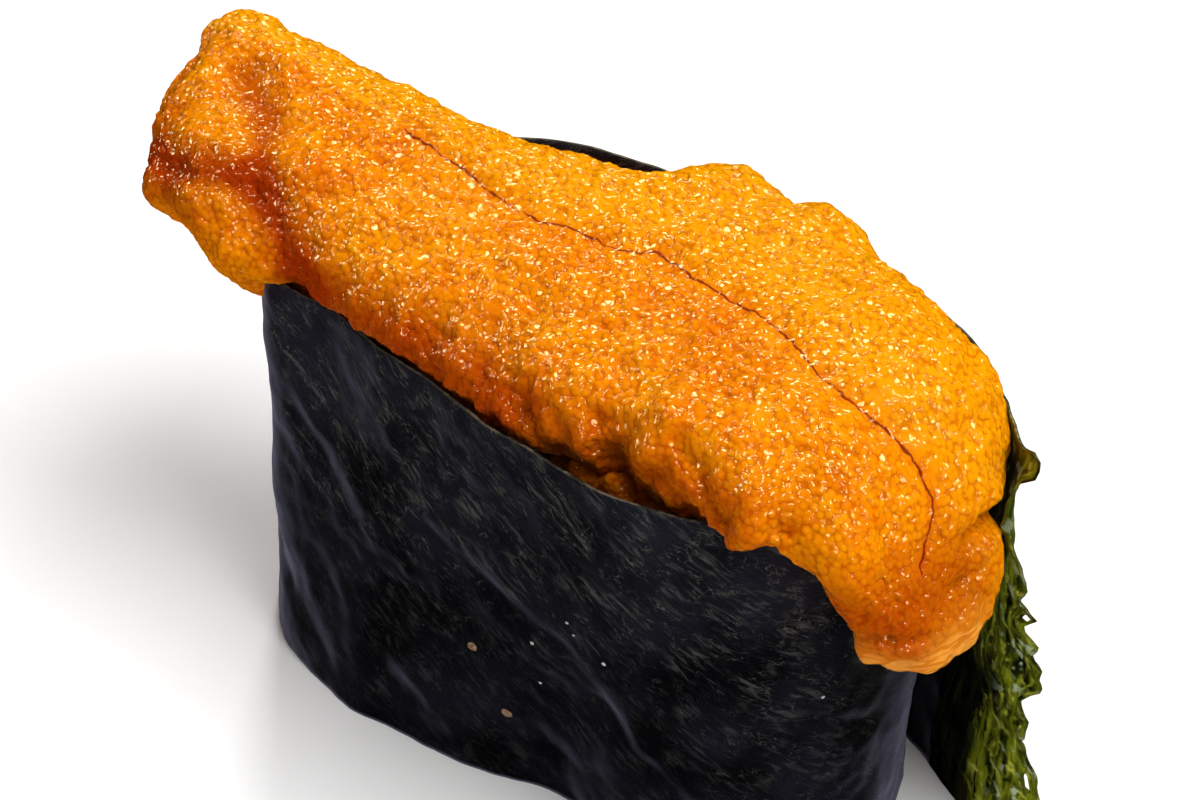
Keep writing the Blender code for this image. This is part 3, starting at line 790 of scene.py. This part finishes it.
def bead_nodes():
    """A node group that raises a granule over each cell of the surface, by its bead attribute."""
    tree = bpy.data.node_groups.new("granules", "GeometryNodeTree")
    for way in ("INPUT", "OUTPUT"):
        tree.interface.new_socket("Geometry", in_out=way, socket_type="NodeSocketGeometry")

    def make(kind, inputs=None, **settings):
        return add_node(tree, kind, inputs, settings)

    source = make("NodeGroupInput")
    rest = make("GeometryNodeInputNamedAttribute", {"Name": "rest"}, data_type="FLOAT_VECTOR")
    bead = make("GeometryNodeInputNamedAttribute", {"Name": "bead"}, data_type="FLOAT")
    dome, _ = bead_dome(make, rest.outputs[0])
    scaled = make("ShaderNodeMath", {0: dome, 1: bead.outputs[0]}, operation="MULTIPLY")
    painted_top_light = make("ShaderNodeMath", {0: scaled.outputs[0], 1: BEAD_HEIGHT * MM}, operation="MULTIPLY")
    normal = make("GeometryNodeInputNormal")
    move = make("ShaderNodeVectorMath", {0: normal.outputs[0], "Scale": painted_top_light.outputs[0]}, operation="SCALE")
    place = make("GeometryNodeSetPosition", {"Geometry": source.outputs[0], "Offset": move.outputs[0]})
    make("NodeGroupOutput", {0: place.outputs[0]})
    return tree


def add_beads(obj, tree):
    """Raises the granules in the object's own mesh."""
    obj.modifiers.new("granules", "NODES").node_group = tree
    apply_modifiers(obj)


def keep_inside(points):
    """Moves points of the tongue that lie below the rim back from the front of the band."""
    front = sorted(row[0] for row in BAND_STATIONS[FRONT_STATIONS])
    limit = np.interp(points[..., 0], [x for x, _ in front], [y for _, y in front]) + RIM_CLEARANCE
    below = smooth((BAND_HEIGHT + 0.5 - points[..., 2]) / 0.8)
    within = smooth((points[..., 0] + 24) / 2) * smooth((17 - points[..., 0]) / 2)
    points[..., 1] += np.maximum(0, limit - points[..., 1]) * below * within


def painted_shade_share(points, cut_face):
    """How much painted shade darkens the roe's colour at each point, from 0 to 0.95: in the crease, along
    the front, at the left end and the tip, where the roe turns from the light.
    """
    x, y, z = np.moveaxis(points, -1, 0)
    front = smooth((37.0 - z) / 3.2) * smooth((-4 - y) / 5) * smooth((23 - x) / 6) * smooth((x + 22) / 5)
    left_end = smooth((-22 - x) / 6) * smooth((39.2 - z) / 2) * smooth((z - 32.5) / 3)
    tip = smooth((x - 20) / 5) * smooth((33.5 - z) / 6) * (1 - 0.6 * smooth((y + 1) / 4))
    painted_shade = crease(points, CREASE, 1.5, 0.6) + front * (0.6 + 0.22 * smooth((6 - x) / 6))
    painted_shade = painted_shade + 0.45 * left_end + 0.7 * tip + crease(points, LEFT_PAINTED_SHADE, 1.8, 0.65)
    return np.clip(painted_shade, 0, 0.95) * (1 - 0.6 * cut_face)


def make_tongue(beads):
    """The long tongue of roe over the top, as one closed skin."""
    rings, angles = tongue_samples()
    points, along, top, swell = tongue_base(rings, angles)
    normals = grid_normals(points, closed=True)
    if (normals[ROE_RINGS // 2, :, 2] * top[ROE_RINGS // 2]).sum() < 0:
        normals = -normals
    relief = tongue_relief(points, along, top) * np.minimum(1.0, swell * 2)
    seam = seam_distance(points, along)
    relief -= SEAM_DEPTH * np.exp(-((seam / SEAM_WIDTH) ** 2)) * top
    points = points + normals * relief[..., None]
    keep_inside(points)

    cut_face = np.clip(1.6 * crease(points, CUT_FACE, 1.7, 1.0), 0, 1)
    film = sum(lump(points, (x, y, z), reach, 1.0) for x, y, z, reach in WET_SPOTS)
    film = np.clip(film + 0.5 * smooth((noise_at(points, 2.2, 3.0) - 0.35) / 0.2), 0, 1)
    bead = (1 - 0.85 * film) * (1 - 0.92 * cut_face)
    # Painted shade for the roe's colour
    painted_shade = painted_shade_share(points, cut_face)

    tips = np.stack([points[0].mean(0), points[-1].mean(0)])
    verts = np.concatenate([points.reshape(-1, 3), tips])
    attributes = {"rest": verts}
    grids = {"bead": (bead, 0.5), "painted_shade": (painted_shade, 0.0), "seam": (seam, FAR_IN_FRONT), "cut": (cut_face, 0.0)}
    for key, (values, at_tip) in grids.items():
        attributes[key] = np.concatenate([values.ravel(), [at_tip, at_tip]])
    faces = tube_faces(*points.shape[:2])
    tongue = add_mesh("roe_tongue", verts, faces, attributes, roe_material("roe_wet", 1.0))
    face_outward(tongue.data)
    add_beads(tongue, beads)
    return tongue


def face_outward(mesh):
    """Turns a closed mesh's faces outward."""
    shape = bmesh.new()
    shape.from_mesh(mesh)
    bmesh.ops.recalc_face_normals(shape, faces=shape.faces)
    if shape.calc_volume(signed=True) < 0:
        bmesh.ops.reverse_faces(shape, faces=shape.faces)
    shape.to_mesh(mesh)
    shape.free()


def make_lower_roe(beads):
    """The lower tongue: the solid's own form, remeshed finely and covered in granules."""
    obj = link("roe_under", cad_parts["roe_lower"].data.copy())
    remesh = obj.modifiers.new("even", "REMESH")
    remesh.mode = "VOXEL"
    remesh.voxel_size = LOWER_VOXEL * MM
    soften = obj.modifiers.new("soft", "SMOOTH")
    soften.iterations = 3
    apply_modifiers(obj)
    mesh = obj.data
    verts = np.empty(len(mesh.vertices) * 3)
    mesh.vertices.foreach_get("co", verts)
    rest = verts.reshape(-1, 3) / MM
    out = np.empty(len(mesh.vertices) * 3)
    mesh.vertices.foreach_get("normal", out)
    raised = sum(lump(rest, (x, y, z), reach, rise) for x, y, z, reach, rise in LOWER_LUMPS)
    rough = fractal_at(rest, 3.0, 3) * 0.35
    rest = rest + out.reshape(-1, 3) * rough[:, None] + np.array(LUMPS_TOWARD) * raised[:, None]
    mesh.vertices.foreach_set("co", (rest * MM).ravel())
    even = np.ones(len(rest))
    # Painted shade: the lower roe, lying in the gap's shadow, is darkened all over
    set_attributes(mesh, {"rest": rest, "bead": even, "painted_shade": 0.5 * even, "seam": FAR_IN_FRONT * even})
    mesh.materials.clear()
    mesh.materials.append(roe_material("roe_shaded_copy", 0.96))
    mesh.shade_smooth()
    add_beads(obj, beads)
    return obj


# Nori

def band_point(position, share):
    """Points of the plain sheet, at positions counted in stations and shares of the height."""
    rim = through([row[0] for row in BAND_STATIONS], position)
    foot = through([row[1] for row in BAND_STATIONS], position)
    flat = foot + (rim - foot) * share[..., None]
    return np.concatenate([flat, (share * BAND_HEIGHT)[..., None]], -1)


def in_hole(position, share):
    """Whether a place on the sheet lies in one of its holes."""
    return any(((position - p) / a) ** 2 + ((share - s) / b) ** 2 < 1 for p, s, a, b in HOLES)


def sheet_relief(points, loose):
    """The sheet's waves and wrinkles, in millimetres out of its plain form."""
    wave = noise_at(points, 7.0) * 0.45 + noise_at(points, 3.0) * 0.16
    run, level = points[..., 0] + points[..., 1], points[..., 2] * 1.4
    slanted = np.stack([run + level, (level - run) * 0.35, 0 * run], -1)
    wave = wave * (1 + loose) + noise_at(slanted, 3.4, 5.0) * 0.045
    wave = wave + noise_at(points, 1.2, 5.0) * 0.07 * (1 + 2 * loose)
    for route, width, depth in WRINKLES:
        wave = wave - crease(points, route, width, depth)
    return wave


def make_nori():
    """The sheet of seaweed round the rice, with its torn tail and two small holes in it."""
    last = len(BAND_STATIONS) - 1
    columns = last * SHEET_COLUMNS
    position = np.linspace(0, last, columns + 1)[:, None] + np.zeros(SHEET_ROWS + 1)
    share = np.linspace(0, 1, SHEET_ROWS + 1)[None, :] + np.zeros((columns + 1, 1))
    points = band_point(position, share)
    out = grid_normals(points, closed=False)
    out[..., 2] = 0
    out /= np.linalg.norm(out, axis=-1, keepdims=True)
    middle = columns // 3
    if out[middle, 0] @ points[middle, 0] < 0:
        out = -out
    loose = smooth((position - (last - TAIL_STATIONS)) / TAIL_STATIONS)
    points = points + out * sheet_relief(points, loose)[..., None]
    along = np.stack([out[..., 1], -out[..., 0], 0 * out[..., 0]], -1)
    torn = np.interp(share, [row[0] for row in TORN_EDGE], [row[1] for row in TORN_EDGE])
    torn = torn + noise_at(points, 0.7, 9.0) * 0.25
    near_end = smooth((position - (last - END_STATIONS)) / END_STATIONS)
    flare = FLARE_SHARE * np.array(FLARE) + ALONG_SHARE * along
    points = points + flare * (torn * near_end)[..., None]
    points[..., 2] += FLAG_LIFT * near_end * smooth((share - 0.94) / 0.06)
    steps = np.linalg.norm(np.diff(points, axis=0), axis=-1).mean(1)
    run = np.concatenate([[0], np.cumsum(steps)])
    sheet = np.stack([run[:, None] + 0 * share, share * BAND_HEIGHT, 0 * share], -1)
    tail = smooth((position - TORN_START) / (last - 0.4 - TORN_START))
    rows = SHEET_ROWS + 1
    faces = [
        (i * rows + j, (i + 1) * rows + j, (i + 1) * rows + j + 1, i * rows + j + 1)
        for i in range(columns)
        for j in range(SHEET_ROWS)
        if not in_hole((i + 0.5) / SHEET_COLUMNS, (j + 0.5) / SHEET_ROWS)
    ]
    attributes = {"sheet": sheet.reshape(-1, 3), "tail": tail.ravel()}
    nori = add_mesh("nori_sheet", points.reshape(-1, 3), faces, attributes, nori_material())
    green = torn_material()
    for material in (green, edge_material(), green):
        nori.data.materials.append(material)
    start = position[:, 0].searchsorted(TORN_START)
    for face in nori.data.polygons:
        face.material_index = int(face.vertices[0] >= start * rows)
    solid = nori.modifiers.new("thickness", "SOLIDIFY")
    solid.material_offset_rim = 2  # the rim's material stands two slots after the face's
    solid.thickness = SHEET_THICKNESS * MM
    solid.offset = 0
    apply_modifiers(nori)
    for v in nori.data.vertices:
        v.co.z = max(v.co.z, 0.0)
    return nori


# Rice

def rice_outline(height, inset, steps=90):
    """The loop inside the band at a height, set in from the middle of the sheet."""
    position = np.linspace(0, CLOSING_STATION, steps)
    share = np.full(steps, height / BAND_HEIGHT)
    ahead = band_point(position + 0.02, share) - band_point(position - 0.02, share)
    side = np.stack([-ahead[:, 1], ahead[:, 0], 0 * ahead[:, 0]], -1)
    side /= np.linalg.norm(side, axis=-1, keepdims=True)
    return band_point(position, share) - side * inset


def inside(place, loop):
    """Whether a place in plan lies within a loop of points."""
    odd = False
    for a, b in zip(loop, np.roll(loop, -1, axis=0)):
        if (a[1] > place[1]) != (b[1] > place[1]):
            if place[0] < a[0] + (place[1] - a[1]) * (b[0] - a[0]) / (b[1] - a[1]):
                odd = not odd
    return odd


def make_rice():
    """A block of pressed rice with real grains over its underside, flat where it rests."""
    rings = np.stack([rice_outline(height, inset) for height, inset in RICE_LEVELS])
    shape = bmesh.new()
    grid = [[shape.verts.new(p) for p in ring] for ring in rings.tolist()]
    for low, high in zip(grid, grid[1:]):
        for k in range(len(low)):
            n = (k + 1) % len(low)
            shape.faces.new((low[k], low[n], high[n], high[k]))
    shape.faces.new(grid[0])
    shape.faces.new(grid[-1])
    bmesh.ops.recalc_face_normals(shape, faces=shape.faces)
    allowed = rice_outline(1.0, GRAIN_INSET)
    draw = random.Random(RICE_SEED)
    for i in range(-9, 8):
        for j in range(-5, 6):
            place = Vector(((i + (j % 2) / 2) * GRAIN_PITCH[0], j * GRAIN_PITCH[1], 0))
            place += Vector((draw.uniform(-0.6, 0.6), draw.uniform(-0.6, 0.6), draw.uniform(0.9, 1.5)))
            turn, tip, size = draw.uniform(0, math.pi), draw.uniform(-0.25, 0.25), draw.uniform(0.9, 1.08)
            if inside(place, allowed):
                add_grain(shape, place, turn, tip, size)
    for v in shape.verts:
        v.co.z = max(v.co.z, 0.02)
        v.co *= MM
    return add_shape("rice_block", shape, rice_material())


def add_grain(shape, place, turn, tip, size):
    """A plump cooked grain, slightly bent, thinner at one end."""
    made = bmesh.ops.create_uvsphere(shape, u_segments=10, v_segments=10, radius=1.0)["verts"]
    rotate = Matrix.Rotation(turn, 3, "Z") @ Matrix.Rotation(tip, 3, "Y")
    for v in made:
        along = v.co.z
        slim = 1 - 0.12 * along
        side = v.co.x * GRAIN_HALF_WIDTH * slim + GRAIN_BEND * along * along
        local = Vector((along * GRAIN_HALF_LENGTH, side, v.co.y * GRAIN_HALF_HEIGHT * slim))
        v.co = place + rotate @ (local * size)


# Crumbs

def make_crumbs(name, places, material, nori):
    """Small flattened bits, each stuck to the nearest place on the outside of the sheet."""
    shape = bmesh.new()
    for index, (x, y, z, size) in enumerate(places):
        near = Vector((x * CRUMB_REACH_OUT, y * CRUMB_REACH_OUT, z)) * MM
        _, place, out, _ = nori.closest_point_on_mesh(near)
        turn = out.to_track_quat("Z", "Y")
        made = bmesh.ops.create_icosphere(shape, subdivisions=3, radius=1.0)["verts"]
        for v in made:
            rough = 1 + 0.35 * noise.noise(v.co * 1.6 + Vector((index * 9, 0, 0)))
            v.co = place + turn @ Vector((v.co.x, v.co.y * 0.7, v.co.z * 0.45)) * size * rough * MM
    return add_shape(name, shape, material)


# Stage, light and camera

def make_floor():
    """A plain pale floor, which the gloss doesn't show."""
    bpy.ops.mesh.primitive_plane_add(size=FLOOR_SIZE, location=(0, 0, 0))
    floor = bpy.context.object
    floor.name = "floor"
    s = Shader("floor")
    s.set(Base_Color=(0.92, 0.92, 0.92, 1), Roughness=0.8, Specular_IOR_Level=0.1)
    floor.data.materials.append(s.material)
    floor.visible_glossy = False


def aim(obj, place, target):
    """Puts a light or the camera at a place and points it at a target."""
    obj.location = place
    obj.rotation_euler = (Vector(target) - Vector(place)).to_track_quat("-Z", "Y").to_euler()


def add_light(name, place, target, size, watts, glints_only=False):
    """A soft light, seen either by the surfaces alone or, for glints, by their gloss alone."""
    light = bpy.data.lights.new(name, "AREA")
    light.shape = "RECTANGLE"
    light.size, light.size_y = size
    light.energy = watts
    obj = link(name, light)
    aim(obj, place, target)
    obj.visible_glossy = glints_only
    if glints_only:
        light.color = GLINT_COLOUR
        obj.visible_diffuse = False


def make_lights():
    """A large key light, a small one behind, the glints and an even white surround."""
    add_light("key", (0.42, 0.05, 0.82), (0, 0, 0.02), (0.60, 0.60), 9.1)
    add_light("back", (-0.38, 0.42, 0.46), (0, 0, 0.03), (0.14, 0.08), 2.2)
    for name, place, watts in GLINT_LIGHTS:
        add_light(name, place, (0, 0, 0.03), GLINT_SIZE, watts, glints_only=True)
    world = bpy.data.worlds.new("studio")
    world.use_nodes = True
    surround = world.node_tree.nodes["Background"]
    surround.inputs["Color"].default_value = (1, 1, 1, 1)
    surround.inputs["Strength"].default_value = WORLD_STRENGTH
    world.cycles_visibility.glossy = False
    bpy.context.scene.world = world
    bpy.context.scene.view_settings.view_transform = "Standard"


def make_camera():
    """The photograph's view."""
    lens = bpy.data.cameras.new("camera")
    lens.lens = CAMERA_LENS
    camera = link("camera", lens)
    aim(camera, Vector(CAMERA_PLACE) * MM, Vector(CAMERA_TARGET) * MM)
    bpy.context.scene.camera = camera


def place_piece(piece, slot, *nodes):
    """Joins a piece to the body and hides the solids it stands for; its material slot is not used."""
    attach(piece, "root")
    for name in nodes:
        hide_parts(name)


make_camera()
make_lights()
make_floor()
granules = bead_nodes()
place_piece(make_tongue(granules), "roe", "roe_top")
place_piece(make_lower_roe(granules), "roe", "roe_lower")
sheet = make_nori()
place_piece(sheet, "nori", "nori_band")
place_piece(make_rice(), "rice", "rice")
brown = crumb_material("crumb_brown", (0.20, 0.10, 0.05), (0.38, 0.24, 0.14))
white = crumb_material("speck_white", (0.45, 0.46, 0.50), (0.75, 0.76, 0.80))
place_piece(make_crumbs("crumbs", CRUMBS, brown, sheet), "rice")
place_piece(make_crumbs("specks", SPECKS, white, sheet), "rice")
